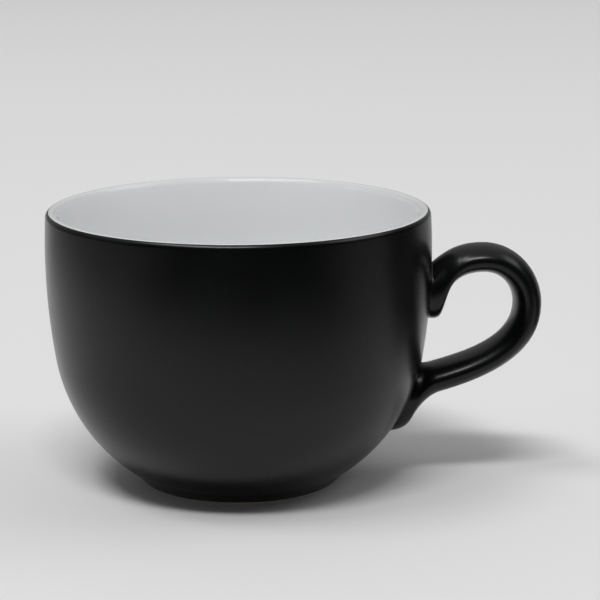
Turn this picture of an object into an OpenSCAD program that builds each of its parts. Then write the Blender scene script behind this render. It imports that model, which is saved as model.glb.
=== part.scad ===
// Two-tone stoneware cappuccino cup: a clay bowl and a clay handle, joined with slip and coated with glaze.
// Millimetres. The origin is on the bowl's axis, on the table. +Z is up and the handle points along +X.

/* [Bowl] */
// Outside diameter at the widest place, a little below the rim
rim_d = 105; // [95:0.5:125]
// Height of the cup
cup_h = 75.2; // [68:0.1:90]
// Distance from the rim down to the widest place
widest_drop = 12.3; // [8:0.1:16]
// Radius of the upper wall's gentle curve, seen from the side
upper_r = 180; // [140:1:260]
// Angle that the upper curve turns inwards before the belly begins
upper_turn = 8.9; // [5:0.1:12]
// Thickness of the finished wall, which is also the width of the round lip
wall_t = 3.2; // [2.4:0.1:5]
// Thickness of the finished floor above the recess
floor_t = 4.6; // [3:0.1:8]
// Radius of the hollow corner between the floor and the wall inside
well_r = 13; // [6:0.5:20]

/* [Foot] */
// Diameter where the belly meets the foot
foot_top_d = 60; // [56:0.1:70]
// Height of the foot
foot_h = 3; // [2.5:0.1:6]
// Outside diameter of the flat ring on the table
foot_d = 52.8; // [46:0.1:56]
// Width of the flat ring on the table
foot_ring_w = 3; // [2:0.1:5]
// Radius of the foot's outer bottom edge
foot_edge_r = 0.6; // [0.5:0.1:2]
// Depth of the recess under the cup
recess_h = 2.2; // [1.2:0.1:3.5]
// How much the recess narrows towards its ceiling, on the radius
recess_draft = 1.4; // [0.6:0.1:3]

/* [Glaze] */
// Thickness of the black glaze outside
glaze_t = 0.4; // [0.25:0.05:0.7]
// Thickness of the white glaze inside
liner_t = 0.4; // [0.25:0.05:0.7]
// Angle from the top of the lip, outwards, at which white meets black
liner_edge = 22; // [0:1:70]
// Height of the bare clay left above the foot's rounded edge
bare_h = 0.5; // [0.2:0.1:1.2]
// Bare margin around the glaze in the recess
base_margin = 0.8; // [0.3:0.1:3]

/* [Handle] */
// Height of the handle's highest point
handle_top = 64.8; // [63:0.1:72]
// How far the handle stands out past the widest place of the bowl
handle_out = 30.4; // [26:0.1:40]
// Distance from the widest place of the bowl to the handle's highest point
crest_out = 14.4; // [11:0.1:18]
// Height at which the handle stands out furthest
bow_h = 48; // [42:0.1:52]
// Thickness of the upper arm and the bow, seen from the side
handle_t = 7.7; // [6:0.1:10]
// Thickness of the lower arm, seen from the side
low_arm_t = 8; // [6.5:0.1:11]
// How far the lower arm reaches past the widest place of the bowl before it turns down into its tail
low_arm_out = 2.8; // [2:0.1:6]
// Height of the underside of the lower arm at that place
low_arm_h = 23.6; // [21:0.1:26]
// Slope of the lower arm at that place, in degrees below level
low_arm_slope = 16; // [10:1:26]
// Width of the handle, across the grip
handle_w = 16; // [10:0.1:20]
// Width of the handle where it meets the bowl
root_w = 17; // [11:0.1:21]
// Height where the top of the upper end meets the wall
upper_root_top = 59.1; // [57:0.1:62]
// Height where the tail of the upper end meets the wall
upper_root_low = 44.3; // [42:0.1:47]
// How far the tail of the upper end stands off the wall
upper_tail_t = 3.4; // [2.6:0.1:5]
// Height of the round tip of that tail
upper_tail_tip = 0.9; // [0.4:0.1:1.2]
// Distance from the widest place of the bowl to the hollow between that tail and the upper arm
throat_out = 4.6; // [3.8:0.1:7]
// Height of that hollow
throat_h = 52.2; // [50:0.1:54]
// Height where the top of the lower end meets the wall
lower_root_top = 31; // [29:0.1:34]
// Height where the tail of the lower end meets the wall
lower_root_low = 12.2; // [10:0.1:15]
// How far the tail of the lower end stands off the wall
lower_tail_t = 4.4; // [3.6:0.1:6]
// Height of the round tip of that tail
lower_tail_tip = 2.7; // [2:0.1:4]
// Thickness of the slip between the handle and the bowl
slip_t = 0.4; // [0.2:0.05:0.8]

/* [Hidden] */
$fn = 120;

clay_colour = "#cbbfae";
slip_colour = "#d9cfbf";
black_colour = "#1b1c1d";
white_colour = "#e9eaea";

// Steps of a lathe outline's arcs, in degrees
belly_step = 3;
upper_step = 1.5;
small_step = 12;

// Rings of the handle from one station to the next, sides of a ring, stations over which each end widens,
// part of a station over which a curve's direction is taken, and run of the ends past the inside of the wall
rings_each = 8;
ring_sides = 24;
flare_stations = 2;
slice = 0.01;
root_run = 1;

// Points of an arc about centre c, of radius r, from angle a to angle b
function arc(c, r, a, b, step) =
    let (n = max(2, ceil(abs(b - a) / step)))
    [for (i = [0 : n]) c + r * [cos(a + (b - a) * i / n), sin(a + (b - a) * i / n)]];
function unit(a) = [cos(a), sin(a)];
function backwards(list) = [for (i = [len(list) - 1 : -1 : 0]) list[i]];

// Bowl outline: an upper arc that is upright at the widest place, then a belly arc that runs on smoothly
// from it to the top of the foot. Outlines set in from the finished surface share the same centres.
rim_r = rim_d / 2;
foot_top = [foot_top_d / 2, foot_h];
upper_c = [rim_r - upper_r, cup_h - widest_drop];
turn_dir = unit(-upper_turn);
to_foot = foot_top - upper_c;
belly_r = pow(norm(to_foot - upper_r * turn_dir), 2) / (2 * (upper_r - to_foot * turn_dir));
belly_c = upper_c + (upper_r - belly_r) * turn_dir;
belly_end = atan2(foot_top[1] - belly_c[1], foot_top[0] - belly_c[0]);

// Lip: a circle as wide as the wall, which touches the outer and the inner surface
lip_r = wall_t / 2;
lip_up = asin((cup_h - lip_r - upper_c[1]) / (upper_r - lip_r));
lip_c = upper_c + (upper_r - lip_r) * unit(lip_up);
lip_split = 90 - liner_edge;

// Outside of the wall from the top of the foot to the lip, set in by d
function wall_outline(d) = concat(
    arc(belly_c, belly_r - d, belly_end, -upper_turn, belly_step),
    arc(upper_c, upper_r - d, -upper_turn + upper_step, lip_up, upper_step));

// Height of the floor inside, and the hollow corner that blends it into the belly
floor_h = recess_h + floor_t;
well_h = floor_h + well_r;
well_c = [belly_c[0] + sqrt(pow(belly_r - wall_t - well_r, 2) - pow(well_h - belly_c[1], 2)), well_h];
well_end = atan2(well_c[1] - belly_c[1], well_c[0] - belly_c[0]);

// Inside of the bowl from the axis to the lip, d outside the finished surface
function bowl_outline(d) = concat(
    [[0, floor_h - d]],
    arc(well_c, well_r + d, -90, well_end, small_step / 2),
    arc(belly_c, belly_r - wall_t + d, well_end + belly_step, -upper_turn, belly_step),
    arc(upper_c, upper_r - wall_t + d, -upper_turn + upper_step, lip_up, upper_step));

// Foot: a straight flank from the belly down to the rounded edge of the flat ring
foot_r = foot_d / 2;
ring_r = foot_r - foot_ring_w;
edge_c = [foot_r, foot_edge_r];
flank_top = belly_c + (belly_r - glaze_t) * unit(belly_end);
to_flank = flank_top - edge_c;
flank_dir = atan2(to_flank[1], to_flank[0]) - acos(foot_edge_r / norm(to_flank));
flank_low = edge_c + foot_edge_r * unit(flank_dir);
bare_point = flank_low + (flank_top - flank_low) * bare_h / (flank_top[1] - flank_low[1]);
recess_r = ring_r - recess_draft;

// Radius of the finished outside at height z
function wall_r(z) =
    z > upper_c[1] - upper_r * sin(upper_turn)
        ? upper_c[0] + sqrt(upper_r * upper_r - pow(z - upper_c[1], 2))
        : belly_c[0] + sqrt(belly_r * belly_r - pow(z - belly_c[1], 2));

// The whole bowl without its hollow, d inside the finished surface, which trims what sits on the wall
module bowl_blank(d) {
    rotate_extrude()
        polygon(concat([[0, 0], [foot_r, 0]], wall_outline(d), [[0, cup_h]]));
}

// Handle: an outer and an inner curve of its finished surface, in the plane of the handle, both running
// from the upper end over the top to the lower end. A knot is [station, point, heading, pull before,
// pull after]. A pull is a share of the distance to the neighbouring knot.
bow = [rim_r + handle_out, bow_h];
crest = [rim_r + crest_out, handle_top];
low_arm = [rim_r + low_arm_out, low_arm_h];
low_arm_dir = low_arm_slope - 180;
lower_tail_h = lower_root_low + lower_tail_tip;
upper_tail_h = upper_root_low + upper_tail_tip;
throat = [rim_r + throat_out, throat_h];
last_station = 7;

outer_knots = [
    [0, [wall_r(upper_root_top), upper_root_top], 42, 0, 0.33],
    [3, crest, 0, 0.47, 0.38],
    [4, bow, -90, 0.4, 0.385],
    [5, low_arm, low_arm_dir, 0.36, 0.31],
    [6, [wall_r(lower_tail_h) + lower_tail_t, lower_tail_h], -117, 0.36, 0.33],
    [7, [wall_r(lower_root_low), lower_root_low], -185, 0.38, 0]];
inner_knots = [
    [0, [wall_r(upper_root_low), upper_root_low], -12, 0, 0.34],
    [1, [wall_r(upper_tail_h) + upper_tail_t, upper_tail_h], 66, 0.42, 0.3],
    [2, throat, 64, 0.3, 0.31],
    [3, crest - [0, handle_t], 0, 0.46, 0.39],
    [4, bow - [handle_t, 0], -90, 0.39, 0.37],
    [5, low_arm + low_arm_t * unit(low_arm_dir - 90), low_arm_dir, 0.37, 0.33],
    [7, [wall_r(lower_root_top), lower_root_top], -164, 0.33, 0]];

function bezier(a, b, c, d, t) =
    pow(1 - t, 3) * a + 3 * t * pow(1 - t, 2) * b + 3 * t * t * (1 - t) * c + pow(t, 3) * d;
function span_at(knots, s, i = 0) =
    i >= len(knots) - 2 || s <= knots[i + 1][0] ? i : span_at(knots, s, i + 1);
function on_curve(knots, s) =
    let (
        i = span_at(knots, s),
        p = knots[i],
        q = knots[i + 1],
        reach = norm(q[1] - p[1]))
    bezier(p[1], p[1] + p[4] * reach * unit(p[2]), q[1] - q[3] * reach * unit(q[2]), q[1],
           (s - p[0]) / (q[0] - p[0]));
// Direction square to a curve at station s: side is 1 for its left and -1 for its right
function square_to(knots, s, side) =
    let (
        ahead = on_curve(knots, min(s + slice, last_station)),
        behind = on_curve(knots, max(s - slice, 0)),
        along = (ahead - behind) / norm(ahead - behind))
    side * [-along[1], along[0]];

// Half of the handle's width at station s, wider towards both ends
function half_width(s) =
    let (near = max(0, 1 - min(s, last_station - s) / flare_stations))
    (handle_w + (root_w - handle_w) * near * near) / 2;

// One oval ring of the handle at station s, set in by d, and moved back into the bowl by sink
function ring(s, d, sink = 0) =
    let (
        o = on_curve(outer_knots, s) - d * square_to(outer_knots, s, 1),
        i = on_curve(inner_knots, s) - d * square_to(inner_knots, s, -1),
        mid = (o + i) / 2,
        half = (o - i) / 2,
        w = half_width(s) - d)
    [for (k = [0 : ring_sides - 1])
        let (a = 360 * k / ring_sides)
        [mid[0] + half[0] * cos(a) - sink, w * sin(a), mid[1] + half[1] * cos(a)]];
root_sink = wall_t + root_run;
stations = [for (k = [0 : last_station * rings_each]) k / rings_each];
function handle_rings(d) = concat(
    [ring(0, d, root_sink)], [for (s = stations) ring(s, d)], [ring(last_station, d, root_sink)]);

// Triangles between ring a and ring b, whose points start at those numbers
function band(a, b) =
    [for (k = [0 : ring_sides - 1])
        let (n = (k + 1) % ring_sides)
        each [[a + k, a + n, b + n], [a + k, b + n, b + k]]];
function tube_faces(count, start) =
    [for (i = [0 : count - 2]) each band(start + i * ring_sides, start + (i + 1) * ring_sides)];
function flipped(faces) = [for (f = faces) [f[0], f[2], f[1]]];
function fan(start) = [for (k = [1 : ring_sides - 2]) [start, start + k, start + k + 1]];

module handle_core() {
    rings = handle_rings(glaze_t);
    last = (len(rings) - 1) * ring_sides;
    polyhedron([for (r = rings) each r],
               concat(tube_faces(len(rings), 0), flipped(fan(0)), fan(last)));
}

// A coat of even thickness over the handle, open at both ends like a sleeve
module handle_sleeve() {
    inner = handle_rings(glaze_t);
    outer = handle_rings(0);
    count = len(inner);
    start = count * ring_sides;
    last = (count - 1) * ring_sides;
    polyhedron(concat([for (r = outer) each r], [for (r = inner) each r]),
               concat(tube_faces(count, 0), flipped(tube_faces(count, start)),
                      flipped(band(0, start)), band(last, start + last)));
}

// The outline of the clay at one handle end, as a bar that runs along X through the wall
module root_bar(s) {
    rotate([90, 0, 90])
        linear_extrude(rim_r + handle_out)
            polygon([for (p = ring(s, glaze_t)) [p[1], p[2]]]);
}

module slip_joint(s) {
    color(slip_colour)
        intersection() {
            difference() {
                bowl_blank(glaze_t - slip_t);
                bowl_blank(glaze_t);
            }
            root_bar(s);
        }
}

module stoneware_body() {
    color(clay_colour)
        rotate_extrude()
            polygon(concat(
                [[recess_r, recess_h], [ring_r, 0]],
                arc(edge_c, foot_edge_r, -90, flank_dir, small_step),
                wall_outline(glaze_t),
                arc(lip_c, lip_r - glaze_t, lip_up + small_step, lip_split, small_step),
                arc(lip_c, lip_r - liner_t, lip_split + small_step, 180 + lip_up - small_step, small_step),
                backwards(bowl_outline(liner_t)),
                [[0, recess_h]]));
}

module handle() {
    color(clay_colour)
        difference() {
            handle_core();
            bowl_blank(glaze_t - slip_t);
        }
}

module inner_glaze() {
    color(white_colour)
        rotate_extrude()
            polygon(concat(
                bowl_outline(0),
                arc(lip_c, lip_r, 180 + lip_up - small_step, lip_split, small_step),
                arc(lip_c, lip_r - liner_t, lip_split, 180 + lip_up - small_step, small_step),
                backwards(bowl_outline(liner_t))));
}

module outer_glaze() {
    color(black_colour)
        difference() {
            rotate_extrude()
                polygon(concat(
                    [bare_point + glaze_t * unit(flank_dir)],
                    wall_outline(0),
                    arc(lip_c, lip_r, lip_up + small_step, lip_split, small_step),
                    arc(lip_c, lip_r - glaze_t, lip_split, lip_up + small_step, small_step),
                    backwards(wall_outline(glaze_t)),
                    [bare_point]));
            root_bar(0);
            root_bar(last_station);
        }
}

module handle_glaze() {
    color(black_colour)
        difference() {
            handle_sleeve();
            bowl_blank(0);
        }
}

module base_glaze() {
    color(black_colour)
        translate([0, 0, recess_h - glaze_t])
            cylinder(h = glaze_t, r = recess_r - base_margin);
}

stoneware_body();
handle();
slip_joint(0);  // upper_slip_joint
slip_joint(last_station);  // lower_slip_joint
inner_glaze();
outer_glaze();
handle_glaze();
base_glaze();
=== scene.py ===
import math

import bmesh
import bpy
from mathutils import Matrix, Vector


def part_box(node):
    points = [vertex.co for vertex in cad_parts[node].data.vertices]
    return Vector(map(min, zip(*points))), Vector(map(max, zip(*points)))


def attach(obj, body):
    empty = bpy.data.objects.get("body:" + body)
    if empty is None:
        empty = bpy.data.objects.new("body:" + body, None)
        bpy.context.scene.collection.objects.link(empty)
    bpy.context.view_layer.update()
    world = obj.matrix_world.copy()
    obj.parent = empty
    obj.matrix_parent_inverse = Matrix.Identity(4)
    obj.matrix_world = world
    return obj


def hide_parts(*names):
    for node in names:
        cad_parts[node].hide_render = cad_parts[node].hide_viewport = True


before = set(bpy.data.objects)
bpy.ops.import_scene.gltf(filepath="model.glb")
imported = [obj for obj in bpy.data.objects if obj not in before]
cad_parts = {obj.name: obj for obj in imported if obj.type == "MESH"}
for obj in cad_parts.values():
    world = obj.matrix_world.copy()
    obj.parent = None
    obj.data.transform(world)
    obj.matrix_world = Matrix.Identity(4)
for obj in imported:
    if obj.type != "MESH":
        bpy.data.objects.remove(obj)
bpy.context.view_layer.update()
mm = 0.001
print("frame loaded:", ", ".join(sorted(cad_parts)))


class Wire:  # one shader socket: arithmetic on it adds Math nodes to its tree
    def __init__(self, tree, socket=None):
        self.tree = tree
        self.socket = socket

    def node(self, kind, settings=None, sockets=None, out=0):
        made = self.tree.nodes.new("ShaderNode" + kind)
        for name, value in (settings or {}).items():
            setattr(made, name, value)
        for name, value in (sockets or {}).items():
            if isinstance(value, Wire):
                self.tree.links.new(value.socket, made.inputs[name])
            else:
                made.inputs[name].default_value = value
        return Wire(self.tree, made.outputs[out] if len(made.outputs) else None)

    def calc(self, operation, first, second):
        return self.node("Math", {"operation": operation}, {0: first, 1: second})

    def __add__(self, other):
        return self.calc("ADD", self, other)

    def __radd__(self, other):
        return self.calc("ADD", other, self)

    def __sub__(self, other):
        return self.calc("SUBTRACT", self, other)

    def __rsub__(self, other):
        return self.calc("SUBTRACT", other, self)

    def __mul__(self, other):
        return self.calc("MULTIPLY", self, other)

    def __rmul__(self, other):
        return self.calc("MULTIPLY", other, self)

    def step(self, low, high):  # runs smoothly from 0 to 1 as the value goes from low to high
        limits = {"Value": self, "From Min": low, "From Max": high}
        return self.node("MapRange", {"interpolation_type": "SMOOTHSTEP"}, limits)

    def tint(self, low, high):  # colour from low to high as the value goes from 0 to 1
        return self.node("Mix", {"data_type": "RGBA"}, {0: self, 6: low, 7: high}, 2)

    def vector(self, operation, other=None, out=0):  # Vector Math: out is 1 where the result is a number
        sockets = {0: self} if other is None else {0: self, 1: other}
        return self.node("VectorMath", {"operation": operation}, sockets, out)

    def axis(self, number):  # x, y or z of a vector, as 0, 1 or 2
        return self.node("SeparateXYZ", None, {0: self}, number)

    def noise(self, size, detail=2.0):  # a place gives cloudy values, with clouds of that size
        return self.node("TexNoise", None, {"Vector": self, "Scale": 1 / size, "Detail": detail})

    def dots(self, spacing, radius, soft=0.3):  # a place gives sparse round dots, 1 inside, with a soft edge
        cells = self.node("TexVoronoi", None, {"Vector": self, "Scale": 1 / spacing})
        return cells.step((1 + soft) * radius / spacing, (1 - soft) * radius / spacing)

    def relief(self):  # a height in metres gives a bumped normal
        return self.node("Bump", None, {"Strength": 1.0, "Distance": 1.0, "Height": self})


def finish(name, recipe):
    made = bpy.data.materials.new(name)
    made.use_nodes = True
    made.node_tree.nodes.clear()
    sheet = Wire(made.node_tree)
    place = sheet.node("TexCoord", None, None, 3)  # object space, which is the shared frame
    sheet.node("OutputMaterial", None, {"Surface": recipe(sheet, place)})
    print("finish made:", name)
    return made


level = (1.0, 1.0, 0.0)  # a place times this loses its height

satin = {
    "colour": (0.0020, 0.0024, 0.0023, 1.0),
    "cloud": (0.0028, 0.0033, 0.0032, 1.0),
    "speck": (0.16, 0.16, 0.15, 1.0),
    "roughness": 0.26,
    "roughSpread": 0.06,
    "cloudShare": 0.6,  # part of that spread which the clouds make, and the grain the rest
    "speckRoughness": 0.2,
    "bend": 1.38,  # index of refraction
    "cloudSize": 16 * mm,
    "cloudDetail": 3.0,
    "cloudFrom": 0.35,
    "cloudFull": 0.7,
    "peelSize": 3.2 * mm,
    "peelHeight": 0.0030 * mm,
    "grainSize": 0.3 * mm,
    "grainHeight": 0.0004 * mm,
    "speckSpacing": 11 * mm,
    "speckRadius": 0.16 * mm,
}


def blackSatin(sheet, place):
    clouds = place.noise(satin["cloudSize"], satin["cloudDetail"])
    clouds = clouds.step(satin["cloudFrom"], satin["cloudFull"])
    specks = place.dots(satin["speckSpacing"], satin["speckRadius"])
    grain = place.noise(satin["grainSize"])
    peel = place.noise(satin["peelSize"])
    colour = specks.tint(clouds.tint(satin["colour"], satin["cloud"]), satin["speck"])
    share = satin["cloudShare"]
    uneven = share * clouds + (1 - share) * grain - 0.5
    rough = satin["roughness"] + satin["roughSpread"] * uneven + satin["speckRoughness"] * specks
    height = satin["peelHeight"] * peel + satin["grainHeight"] * grain
    return sheet.node("BsdfPrincipled", None, {
        "Base Color": colour, "Roughness": rough, "Normal": height.relief(), "IOR": satin["bend"]})


gloss = {
    "colour": (0.893, 0.903, 0.909, 1.0),
    "pooled": (0.85, 0.865, 0.876, 1.0),
    # painted shade in part: the greyer lip crown stands for thinning glaze and also offsets the crown's
    # brighter light
    "thinGlazeAndShade": (0.69, 0.70, 0.705, 1.0),
    "speck": (0.42, 0.40, 0.37, 1.0),
    "roughness": 0.10,
    "roughSpread": 0.05,
    "bend": 1.5,  # index of refraction
    "poolTop": 26 * mm,
    "poolEven": 0.6,  # part of the pooled look that is even, and the clouds vary the rest
    "thinAndShadeFrom": 73.6 * mm,
    "thinAndShadeFull": 74.9 * mm,
    "cloudSize": 22 * mm,
    "cloudDetail": 3.0,
    "peelSize": 4.5 * mm,
    "peelHeight": 0.0035 * mm,
    "speckSpacing": 13 * mm,
    "speckRadius": 0.14 * mm,
}


def whiteGloss(sheet, place):
    height = place.axis(2)
    clouds = place.noise(gloss["cloudSize"], gloss["cloudDetail"])
    even = gloss["poolEven"]
    pooled = height.step(gloss["poolTop"], 0.0) * (even + (1 - even) * clouds)  # thicker down in the well
    thinGlazeAndShade = height.step(gloss["thinAndShadeFrom"], gloss["thinAndShadeFull"])  # the glaze thins out over the lip, and this greyer lip tint is also painted shade that holds the crown's stronger light down to the inside's tone
    specks = place.dots(gloss["speckSpacing"], gloss["speckRadius"])
    clean = thinGlazeAndShade.tint(pooled.tint(gloss["colour"], gloss["pooled"]), gloss["thinGlazeAndShade"])
    colour = specks.tint(clean, gloss["speck"])
    rough = gloss["roughness"] + gloss["roughSpread"] * (clouds - 0.5)
    peel = gloss["peelHeight"] * place.noise(gloss["peelSize"])
    return sheet.node("BsdfPrincipled", None, {
        "Base Color": colour, "Roughness": rough, "Normal": peel.relief(), "IOR": gloss["bend"]})


clay = {
    "colour": (0.56, 0.47, 0.37, 1.0),
    "dark": (0.43, 0.35, 0.27, 1.0),
    "iron": (0.12, 0.075, 0.05, 1.0),
    "roughness": 0.86,
    "roughSpread": 0.1,
    "cloudSize": 6 * mm,
    "cloudDetail": 4.0,
    "grainSize": 0.25 * mm,
    "grainDetail": 3.0,
    "grainHeight": 0.012 * mm,
    "darkBelow": 0.3,
    "paleAbove": 0.7,
    "ironSpacing": 1.6 * mm,
    "ironRadius": 0.14 * mm,
    "turnPitch": 0.55 * mm,
    "turnHeight": 0.010 * mm,
}


def bareClay(sheet, place):
    clouds = place.noise(clay["cloudSize"], clay["cloudDetail"])
    grain = place.noise(clay["grainSize"], clay["grainDetail"])
    iron = place.dots(clay["ironSpacing"], clay["ironRadius"])
    pale = (0.5 * clouds + 0.5 * grain).step(clay["darkBelow"], clay["paleAbove"])
    colour = iron.tint(pale.tint(clay["dark"], clay["colour"]), clay["iron"])
    radius = place.vector("MULTIPLY", level).vector("LENGTH", None, 1)
    marks = sheet.node("Math", {"operation": "SINE"}, {0: (2 * math.pi / clay["turnPitch"]) * radius})
    height = clay["turnHeight"] * marks + clay["grainHeight"] * grain  # the foot is turned on the wheel
    rough = clay["roughness"] + clay["roughSpread"] * (grain - 0.5)
    return sheet.node("BsdfPrincipled", None, {
        "Base Color": colour, "Roughness": rough, "Normal": height.relief()})


slip = {
    "colour": (0.66, 0.59, 0.50, 1.0),
    "dark": (0.54, 0.47, 0.39, 1.0),
    "roughness": 0.9,
    "roughSpread": 0.08,
    "cloudSize": 2.5 * mm,
    "cloudDetail": 3.0,
    "darkBelow": 0.35,
    "paleAbove": 0.65,
    "grainSize": 0.18 * mm,
    "grainHeight": 0.008 * mm,
}


def driedSlip(sheet, place):
    clouds = place.noise(slip["cloudSize"], slip["cloudDetail"])
    grain = place.noise(slip["grainSize"])
    colour = clouds.step(slip["darkBelow"], slip["paleAbove"]).tint(slip["dark"], slip["colour"])
    rough = slip["roughness"] + slip["roughSpread"] * (grain - 0.5)
    height = slip["grainHeight"] * grain
    return sheet.node("BsdfPrincipled", None, {
        "Base Color": colour, "Roughness": rough, "Normal": height.relief()})


blackGlaze = finish("black satin glaze", blackSatin)
whiteGlaze = finish("white gloss glaze", whiteGloss)
stoneware = finish("bare stoneware", bareClay)
slipFilm = finish("dried slip", driedSlip)


def makePiece(name, points, faces, look, slot, node, sharp=40):  # edges past that angle in degrees stay sharp
    mesh = bpy.data.meshes.new(name)
    mesh.from_pydata(points, [], faces)
    work = bmesh.new()
    work.from_mesh(mesh)
    bmesh.ops.recalc_face_normals(work, faces=work.faces)
    work.to_mesh(mesh)
    work.free()
    mesh.shade_smooth()
    mesh.set_sharp_from_angle(angle=math.radians(sharp))
    mesh.materials.append(look)
    piece = bpy.data.objects.new(name, mesh)
    bpy.context.scene.collection.objects.link(piece)
    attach(piece, "root")
    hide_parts(node)
    print("piece made:", name, len(mesh.polygons), "faces")


def unit(angle):
    return Vector((math.cos(angle), math.sin(angle)))


def arc(centre, radius, start, end, step=None, count=12):
    count = count if step is None else max(2, math.ceil(abs(end - start) / step))
    return [centre + radius * unit(start + (end - start) * i / count) for i in range(count + 1)]


# outline points are (radius, height); outlineAt gives the outline at one turn about the axis
def lathe(outlineAt, sides=216):
    points, faces, rows = [], [], []
    poles = {}
    for i in range(sides):
        turn = 2 * math.pi * i / sides
        row = []
        for j, (radius, height) in enumerate(outlineAt(turn)):
            onAxis = radius == 0
            if onAxis and j in poles:
                row.append(poles[j])
                continue
            row.append(len(points))
            points.append((radius * math.cos(turn), radius * math.sin(turn), height))
            if onAxis:
                poles[j] = row[-1]
        rows.append(row)
    for i, row in enumerate(rows):
        after = rows[(i + 1) % sides]
        for j in range(len(row)):
            k = (j + 1) % len(row)
            corners = list(dict.fromkeys([row[j], after[j], after[k], row[k]]))
            if len(corners) > 2:
                faces.append(corners)
    return points, faces


bowl = {
    "rim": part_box("outer_glaze")[1].x,
    "height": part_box("inner_glaze")[1].z,
    "widestDrop": 12.3 * mm,  # from the lip down to the widest place
    "upperRadius": 180 * mm,  # the upper wall's gentle curve, seen from the side
    "upperTurn": math.radians(8.9),  # how far that curve turns in before the belly
    "wall": 3.2 * mm,
    "floor": 4.6 * mm,
    "well": 13 * mm,  # radius of the hollow corner between floor and wall
    "footTop": Vector((30 * mm, 3 * mm)),
    "foot": 26.4 * mm,
    "ringWidth": 3 * mm,
    "footEdge": 0.6 * mm,
    "recess": 2.2 * mm,
    "recessDraft": 1.4 * mm,
    "glaze": 0.4 * mm,
    "linerEdge": math.radians(26),  # from the top of the lip out to where white meets black
    "linerWave": math.radians(1.6),
    "bare": 0.5 * mm,  # height of bare clay above the foot's rounded edge
    "bareWave": 0.1 * mm,
    "baseMargin": 0.8 * mm,
    "bellyStep": math.radians(1.2),
    "upperStep": math.radians(0.6),
    "smallStep": math.radians(6),
    "beadStep": math.radians(30),
    "baseStep": math.radians(15),
    "lipPoints": 24,
}
upperRadius = bowl["upperRadius"]
upperTurn = bowl["upperTurn"]
upperCentre = Vector((bowl["rim"] - upperRadius, bowl["height"] - bowl["widestDrop"]))
toFoot = bowl["footTop"] - upperCentre
bellyRadius = (toFoot - upperRadius * unit(-upperTurn)).length_squared / (
    2 * (upperRadius - toFoot.dot(unit(-upperTurn))))
bellyCentre = upperCentre + (upperRadius - bellyRadius) * unit(-upperTurn)
bellyEnd = math.atan2(*reversed(bowl["footTop"] - bellyCentre))
lipRadius = bowl["wall"] / 2
lipUp = math.asin((bowl["height"] - lipRadius - upperCentre.y) / (upperRadius - lipRadius))
lipCentre = upperCentre + (upperRadius - lipRadius) * unit(lipUp)
floorHeight = bowl["recess"] + bowl["floor"]
wellHeight = floorHeight + bowl["well"]
wellReach = bellyRadius - bowl["wall"] - bowl["well"]
wellCentre = Vector((bellyCentre.x + math.sqrt(wellReach**2 - (wellHeight - bellyCentre.y)**2), wellHeight))
wellEnd = math.atan2(*reversed(wellCentre - bellyCentre))


def wallOutline(inset):  # outside of the wall, from the top of the foot to the lip
    belly, upper = bowl["bellyStep"], bowl["upperStep"]
    return (arc(bellyCentre, bellyRadius - inset, bellyEnd, -upperTurn, belly)
            + arc(upperCentre, upperRadius - inset, -upperTurn + upper, lipUp, upper))


def hollowOutline(outset):  # inside of the bowl, from the axis to the lip
    inset = bowl["wall"] - outset
    belly, upper = bowl["bellyStep"], bowl["upperStep"]
    return ([Vector((0, floorHeight - outset))]
            + arc(wellCentre, bowl["well"] + outset, -math.pi / 2, wellEnd, bowl["smallStep"] / 2)
            + arc(bellyCentre, bellyRadius - inset, wellEnd + belly, -upperTurn, belly)
            + arc(upperCentre, upperRadius - inset, -upperTurn + upper, lipUp, upper))


def wallRadius(height):
    if height > upperCentre.y - upperRadius * math.sin(upperTurn):
        return upperCentre.x + math.sqrt(upperRadius**2 - (height - upperCentre.y)**2)
    return bellyCentre.x + math.sqrt(bellyRadius**2 - (height - bellyCentre.y)**2)


# foot: a straight flank from the belly down to the rounded edge of the flat ring
edgeCentre = Vector((bowl["foot"], bowl["footEdge"]))
flankTop = bellyCentre + (bellyRadius - bowl["glaze"]) * unit(bellyEnd)
toFlank = flankTop - edgeCentre
flankTurn = math.atan2(toFlank.y, toFlank.x) - math.acos(bowl["footEdge"] / toFlank.length)
flankLow = edgeCentre + bowl["footEdge"] * unit(flankTurn)
ringRadius = bowl["foot"] - bowl["ringWidth"]
recessRadius = ringRadius - bowl["recessDraft"]


def wave(turn, seed):  # a slow waver about the axis, between -1 and 1
    slow = math.sin(3 * turn + seed)
    middle = math.sin(7 * turn + 2 * seed)
    quick = math.sin(13 * turn + 5 * seed)
    return 0.5 * slow + 0.3 * middle + 0.2 * quick


def lipSplit(turn):  # where white meets black on the lip
    return math.pi / 2 - bowl["linerEdge"] + bowl["linerWave"] * wave(turn, 1.3)


def clayOutline(turn):
    small = bowl["smallStep"]
    core = lipRadius - bowl["glaze"]
    return ([Vector((recessRadius, bowl["recess"])), Vector((ringRadius, 0))]
            + arc(edgeCentre, bowl["footEdge"], -math.pi / 2, flankTurn, small)
            + wallOutline(bowl["glaze"])
            + arc(lipCentre, core, lipUp + small, math.pi + lipUp - small, small)
            + hollowOutline(bowl["glaze"])[::-1]
            + [Vector((0, bowl["recess"]))])


def blackOutline(turn):
    split = lipSplit(turn)
    small = bowl["smallStep"]
    glaze = bowl["glaze"]
    bare = bowl["bare"] + bowl["bareWave"] * wave(turn, 0.4)
    low = flankLow + (flankTop - flankLow) * bare / (flankTop.y - flankLow.y)
    bead = low + glaze / 2 * unit(flankTurn)
    return (arc(bead, glaze / 2, flankTurn - math.pi, flankTurn, bowl["beadStep"])
            + wallOutline(0)
            + arc(lipCentre, lipRadius, lipUp + small, split)
            + arc(lipCentre, lipRadius - glaze, split, lipUp + small)
            + wallOutline(glaze)[::-1])


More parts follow.
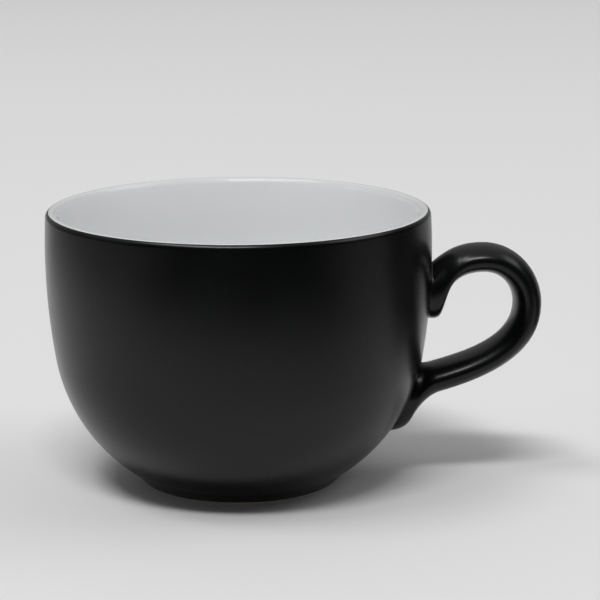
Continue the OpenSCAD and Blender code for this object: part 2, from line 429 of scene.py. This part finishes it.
def whiteOutline(turn):
    split = lipSplit(turn)
    inner = math.pi + lipUp - bowl["smallStep"]
    glaze = bowl["glaze"]
    return (hollowOutline(0)
            + arc(lipCentre, lipRadius, inner, split, count=bowl["lipPoints"])
            + arc(lipCentre, lipRadius - glaze, split, inner, count=bowl["lipPoints"])
            + hollowOutline(glaze)[::-1])


def baseOutline(turn):
    glaze = bowl["glaze"]
    edge = recessRadius - bowl["baseMargin"] - glaze
    top = Vector((edge, bowl["recess"]))
    return ([Vector((0, bowl["recess"] - glaze))]
            + arc(top, glaze, -math.pi / 2, 0, bowl["baseStep"])
            + [Vector((0, bowl["recess"]))])


makePiece("clay_body", *lathe(clayOutline), stoneware, "clay", "stoneware_body")
makePiece("black_coat", *lathe(blackOutline), blackGlaze, "black_satin_glaze", "outer_glaze")
makePiece("white_liner", *lathe(whiteOutline), whiteGlaze, "white_gloss_glaze", "inner_glaze")
makePiece("base_coat", *lathe(baseOutline), blackGlaze, "black_satin_glaze", "base_glaze")

handle = {
    "bow": Vector((bowl["rim"] + 30.4 * mm, 48 * mm)),
    "crest": Vector((bowl["rim"] + 14.4 * mm, 64.8 * mm)),
    "thick": 7.7 * mm,
    "lowArm": Vector((bowl["rim"] + 2.8 * mm, 23.6 * mm)),
    "lowArmTurn": math.radians(16 - 180),
    "lowArmThick": 8 * mm,
    "width": 16 * mm,
    "rootWidth": 17 * mm,
    "flare": 2,  # stations over which each end widens
    "throat": Vector((bowl["rim"] + 4.6 * mm, 52.2 * mm)),
    "upperTop": 59.1 * mm,
    "upperLow": 44.3 * mm,
    "upperTail": (3.4 * mm, 45.2 * mm),  # how far the tail stands off the wall, and where
    "lowerTop": 31 * mm,
    "lowerLow": 12.2 * mm,
    "lowerTail": (4.4 * mm, 14.9 * mm),
    "upperFillet": 0.6 * mm,
    "lowerFillet": 0.2 * mm,
    "filletRings": 5,
    "sink": 0.03 * mm,  # how far the glaze's edge sinks into the bowl's coat
    "slopeStep": 0.1 * mm,  # height over which the wall's slope is taken
    "slice": 0.01,  # part of a station over which a curve's direction is taken
    "halvings": 30,
    "sides": 72,
    "ringsEach": 18,
    "sharp": 60,
}


def onWall(height, off=0.0):
    return Vector((wallRadius(height) + off, height))


# a knot is (station, point, heading in degrees, pull before, pull after)
lowTurn = math.degrees(handle["lowArmTurn"])
lowInside = handle["lowArm"] + handle["lowArmThick"] * unit(handle["lowArmTurn"] - math.pi / 2)
outerKnots = [
    (0, onWall(handle["upperTop"]), 42, 0, 0.33),
    (3, handle["crest"], 0, 0.47, 0.38),
    (4, handle["bow"], -90, 0.4, 0.385),
    (5, handle["lowArm"], lowTurn, 0.36, 0.31),
    (6, onWall(handle["lowerTail"][1], handle["lowerTail"][0]), -117, 0.36, 0.33),
    (7, onWall(handle["lowerLow"]), -185, 0.38, 0),
]
innerKnots = [
    (0, onWall(handle["upperLow"]), -12, 0, 0.34),
    (1, onWall(handle["upperTail"][1], handle["upperTail"][0]), 66, 0.42, 0.3),
    (2, handle["throat"], 64, 0.3, 0.31),
    (3, handle["crest"] - Vector((0, handle["thick"])), 0, 0.46, 0.39),
    (4, handle["bow"] - Vector((handle["thick"], 0)), -90, 0.39, 0.37),
    (5, lowInside, lowTurn, 0.37, 0.33),
    (7, onWall(handle["lowerTop"]), -164, 0.33, 0),
]
lastStation = 7


def onCurve(knots, s):
    i = next((i for i in range(len(knots) - 1) if s <= knots[i + 1][0]), len(knots) - 2)
    start, begin, heading, _, pull = knots[i]
    stop, end, turned, push, _ = knots[i + 1]
    reach = (end - begin).length
    second = begin + pull * reach * unit(math.radians(heading))
    third = end - push * reach * unit(math.radians(turned))
    t = (s - start) / (stop - start)
    return (1 - t)**3 * begin + 3 * t * (1 - t)**2 * second + 3 * t * t * (1 - t) * third + t**3 * end


def squareTo(knots, s, side):  # side is 1 for the curve's left and -1 for its right
    ahead = onCurve(knots, min(s + handle["slice"], lastStation))
    along = ahead - onCurve(knots, max(s - handle["slice"], 0))
    along.normalize()
    return side * Vector((-along.y, along.x))


def handlePoint(s, side, inset):  # one point of the oval ring at station s
    outer = onCurve(outerKnots, s) - inset * squareTo(outerKnots, s, 1)
    inner = onCurve(innerKnots, s) - inset * squareTo(innerKnots, s, -1)
    near = max(0, 1 - min(s, lastStation - s) / handle["flare"])
    width = (handle["width"] + (handle["rootWidth"] - handle["width"]) * near**2) / 2 - inset
    turn = 2 * math.pi * side / handle["sides"]
    flat = (outer + inner) / 2 + (outer - inner) / 2 * math.cos(turn)
    return Vector((flat.x, width * math.sin(turn), flat.y))


def toWall(point, sunk=0.0):  # the same place moved along X to the bowl's surface
    return Vector((math.sqrt((wallRadius(point.z) - sunk)**2 - point.y**2), point.y, point.z))


def ontoWall(point, sunk):  # the same place moved to or from the axis
    scale = (wallRadius(point.z) - sunk) / math.hypot(point.x, point.y)
    return Vector((point.x * scale, point.y * scale, point.z))


def wallFacing(point):  # direction square to the bowl at a point on it
    step = handle["slopeStep"]
    slope = (wallRadius(point.z + step) - wallRadius(point.z - step)) / (2 * step)
    return Vector((point.x, point.y, -slope * math.hypot(point.x, point.y)))


def leaveStation(end, begin, side, start, fillet):  # where that side is a fillet's length from its start
    low, high = end, begin
    for _ in range(handle["halvings"]):
        guess = (low + high) / 2
        far = (handlePoint(guess, side, 0) - start).length > fillet
        low, high = (low, guess) if far else (guess, high)
    return (low + high) / 2


# rings of one end, from the bowl's surface over a small fillet to the station where plain rings begin
def endRings(end, begin, fillet):
    sides = range(handle["sides"])
    joint = [toWall(handlePoint(end, k, 0)) for k in sides]
    middle = sum(joint, Vector()) / len(joint)
    leave = [leaveStation(end, begin, k, joint[k], fillet) for k in sides]
    skirt = []
    for k in sides:
        along = joint[(k + 1) % len(joint)] - joint[k - 1]
        away = wallFacing(joint[k]).cross(along).normalized()
        if away.dot(joint[k] - middle) < 0:
            away.negate()
        skirt.append(ontoWall(joint[k] + fillet * away, handle["sink"]))
    rings = []
    for i in range(handle["filletRings"]):
        t = i / handle["filletRings"]
        rings.append([(1 - t)**2 * skirt[k] + 2 * t * (1 - t) * joint[k] + t * t * handlePoint(leave[k], k, 0)
                      for k in sides])
    count = handle["ringsEach"]
    for i in range(count):
        rings.append([handlePoint(leave[k] + (begin - leave[k]) * i / count, k, 0) for k in sides])
    return rings


def handleMesh():
    sides = handle["sides"]
    each = handle["ringsEach"]
    glaze = bowl["glaze"]
    plain = [[handlePoint(s / each, k, 0) for k in range(sides)]
             for s in range(each, (lastStation - 1) * each + 1)]
    upper = endRings(0, 1, handle["upperFillet"])
    lower = endRings(lastStation, lastStation - 1, handle["lowerFillet"])
    outside = upper + plain + lower[::-1]
    inside = [[handlePoint(s / each, k, glaze) for k in range(sides)] for s in range(lastStation * each + 1)]
    for ring in (0, -1):
        inside[ring] = [toWall(point, handle["sink"]) for point in inside[ring]]
    rings = outside + inside[::-1]
    points = [point for ring in rings for point in ring]
    faces = []
    for i in range(len(rings)):
        after = (i + 1) % len(rings)
        for k in range(sides):
            n = (k + 1) % sides
            faces.append((i * sides + k, i * sides + n, after * sides + n, after * sides + k))
    return points, faces


makePiece("handle_coat", *handleMesh(), blackGlaze, "black_satin_glaze", "handle_glaze", handle["sharp"])

for name, look in (("handle", stoneware), ("upper_slip_joint", slipFilm), ("lower_slip_joint", slipFilm)):
    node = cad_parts[name]
    node.data.materials.clear()
    node.data.materials.append(look)
print("carried over: handle and both slip joints")


def stagePiece(name, points, faces, look):
    mesh = bpy.data.meshes.new(name)
    mesh.from_pydata(points, [], faces)
    mesh.materials.append(look)
    sheet = bpy.data.objects.new(name, mesh)
    bpy.context.scene.collection.objects.link(sheet)
    return sheet


floor = {"half": 6.0, "colour": (0.80, 0.80, 0.80, 1.0), "roughness": 0.7, "shine": 0.2}


def paleSheet(sheet, place):
    return sheet.node("BsdfPrincipled", None, {
        "Base Color": floor["colour"], "Roughness": floor["roughness"], "Specular IOR Level": floor["shine"]})


half = floor["half"]
floorCorners = [(-half, -half, 0), (half, -half, 0), (half, half, 0), (-half, half, 0)]
stagePiece("floor", floorCorners, [(0, 1, 2, 3)], finish("pale floor", paleSheet))

# a dark card round the cup, which only reflections see: black in front, dim at the sides, open at the back
card = {
    "middle": Vector((-0.06, 0.06, 0.0)),
    "reach": 1.2,
    "height": 0.9,
    "lift": 0.5 * mm,
    "sides": 96,
    "clear": 0.13,  # distance from the middle at which the card begins, and at which it is full
    "full": 0.39,
    "frontWay": Vector((0.13, -0.99, 0.0)),
    "frontFrom": 0.5,
    "frontFull": 0.88,
    "sideCover": 0.54,
    "frontCover": 0.96,
    "rightWay": Vector((0.95, 0.31, 0.0)),
    "rightFrom": 0.925,
    "rightFull": 0.98,
    "rightClear": 0.095,
    "rightSet": 0.18,
    "rightCover": 0.85,
    "backFrom": 0.6,
    "backFull": 0.92,
}


def darkCard(sheet, place):
    flat = place.vector("MULTIPLY", level)
    spot = flat.vector("SUBTRACT", card["middle"])
    way = spot.vector("NORMALIZE")
    front = way.vector("DOT_PRODUCT", card["frontWay"], 1).step(card["frontFrom"], card["frontFull"])
    behind = way.axis(1).step(card["backFrom"], card["backFull"])
    most = card["sideCover"] * (1 - behind) + (card["frontCover"] - card["sideCover"]) * front
    cover = spot.vector("LENGTH", None, 1).step(card["clear"], card["full"]) * most
    beside = flat.vector("NORMALIZE").vector("DOT_PRODUCT", card["rightWay"], 1)
    outwards = flat.vector("LENGTH", None, 1).step(card["rightClear"], card["rightSet"])
    right = beside.step(card["rightFrom"], card["rightFull"]) * outwards
    cover = cover + card["rightCover"] * right * (1 - cover)
    clear = sheet.node("BsdfTransparent")
    black = sheet.node("BsdfDiffuse", None, {"Color": (0.0, 0.0, 0.0, 1.0)})
    return sheet.node("MixShader", None, {0: cover, 1: clear, 2: black})


# a flat disc on the floor with an upright wall round it
cardPoints, cardFaces = [], []
for i in range(card["sides"]):
    edge = card["reach"] * unit(2 * math.pi * i / card["sides"])
    cardPoints += [(edge.x, edge.y, card["lift"]), (edge.x, edge.y, card["height"])]
    low, after = 2 * i, 2 * ((i + 1) % card["sides"])
    cardFaces.append((low, after, after + 1, low + 1))
cardFaces.append(tuple(range(0, 2 * card["sides"], 2)))
cardSheet = stagePiece("card", cardPoints, cardFaces, finish("dark card", darkCard))
cardSheet.visible_camera = False
cardSheet.visible_diffuse = False
cardSheet.visible_shadow = False
cardSheet.visible_transmission = False

light = {
    "aim": Vector((0.02, 0.0, 0.03)),
    # azimuth from the front towards the handle and height in degrees, distance, width, depth, power
    "key": (-13, 64, 14.0, 6.4, 1.8, 840.0),
    "left": (-74, 67, 3.0, 1.1, 0.8, 19.0),
    "right": (95, 45, 5.0, 3.0, 2.0, 34.0),
    "front": (5, 6, 3.0, 1.6, 0.4, 12.0),
}


def softbox(name, mirrored=True):  # the glaze doesn't mirror a fill light
    azimuth, height, away, wide, deep, power = light[name]
    along = unit(math.radians(azimuth - 90)) * math.cos(math.radians(height))
    way = Vector((along.x, along.y, math.sin(math.radians(height))))
    lamp = bpy.data.lights.new(name, "AREA")
    lamp.shape = "RECTANGLE"
    lamp.size = wide
    lamp.size_y = deep
    lamp.energy = power
    box = bpy.data.objects.new(name, lamp)
    box.location = light["aim"] + away * way
    box.rotation_euler = (-way).to_track_quat("-Z", "Y").to_euler()
    box.visible_camera = False
    box.visible_glossy = mirrored
    bpy.context.scene.collection.objects.link(box)


softbox("key")
softbox("left")
softbox("right")
softbox("front", False)

# the sky is brightest overhead and dark in front, and the camera sees a plain backdrop
sky = {
    "low": 0.37,
    "high": 0.62,
    "frontFrom": 0.05,
    "frontFull": 0.55,
    "frontShade": 0.95,
    "backdrop": 0.62,
}
world = bpy.data.worlds.new("studio")
world.use_nodes = True
world.node_tree.nodes.clear()
air = Wire(world.node_tree)
sight = air.node("TexCoord")
shade = (-1 * sight.axis(1)).step(sky["frontFrom"], sky["frontFull"])
up = sight.axis(2)
glow = (sky["low"] + (sky["high"] - sky["low"]) * up * up) * (1 - sky["frontShade"] * shade)
seen = air.node("LightPath")  # 1 for what the camera sees itself
strength = glow + seen * (sky["backdrop"] - glow)
air.node("OutputWorld", None, {"Surface": air.node("Background", None, {"Strength": strength})})
bpy.context.scene.world = world
bpy.context.scene.view_settings.view_transform = "Standard"
print("stage set")

shot = {
    "place": Vector((0, -547.8 * mm, 174.1 * mm)),
    "pitch": math.radians(12.828),
    "yaw": math.radians(1.736),
    "roll": math.radians(-0.156),
    "lens": 123.02,
    "sensor": 36.0,
    "near": 10 * mm,
}
view = bpy.data.cameras.new("camera")
view.lens = shot["lens"]
view.sensor_width = shot["sensor"]
view.clip_start = shot["near"]
camera = bpy.data.objects.new("camera", view)
camera.matrix_world = (Matrix.Translation(shot["place"]) @ Matrix.Rotation(-shot["yaw"], 4, "Z")
                       @ Matrix.Rotation(math.pi / 2 - shot["pitch"], 4, "X")
                       @ Matrix.Rotation(shot["roll"], 4, "Z"))
bpy.context.scene.collection.objects.link(camera)
bpy.context.scene.camera = camera
print("camera set")
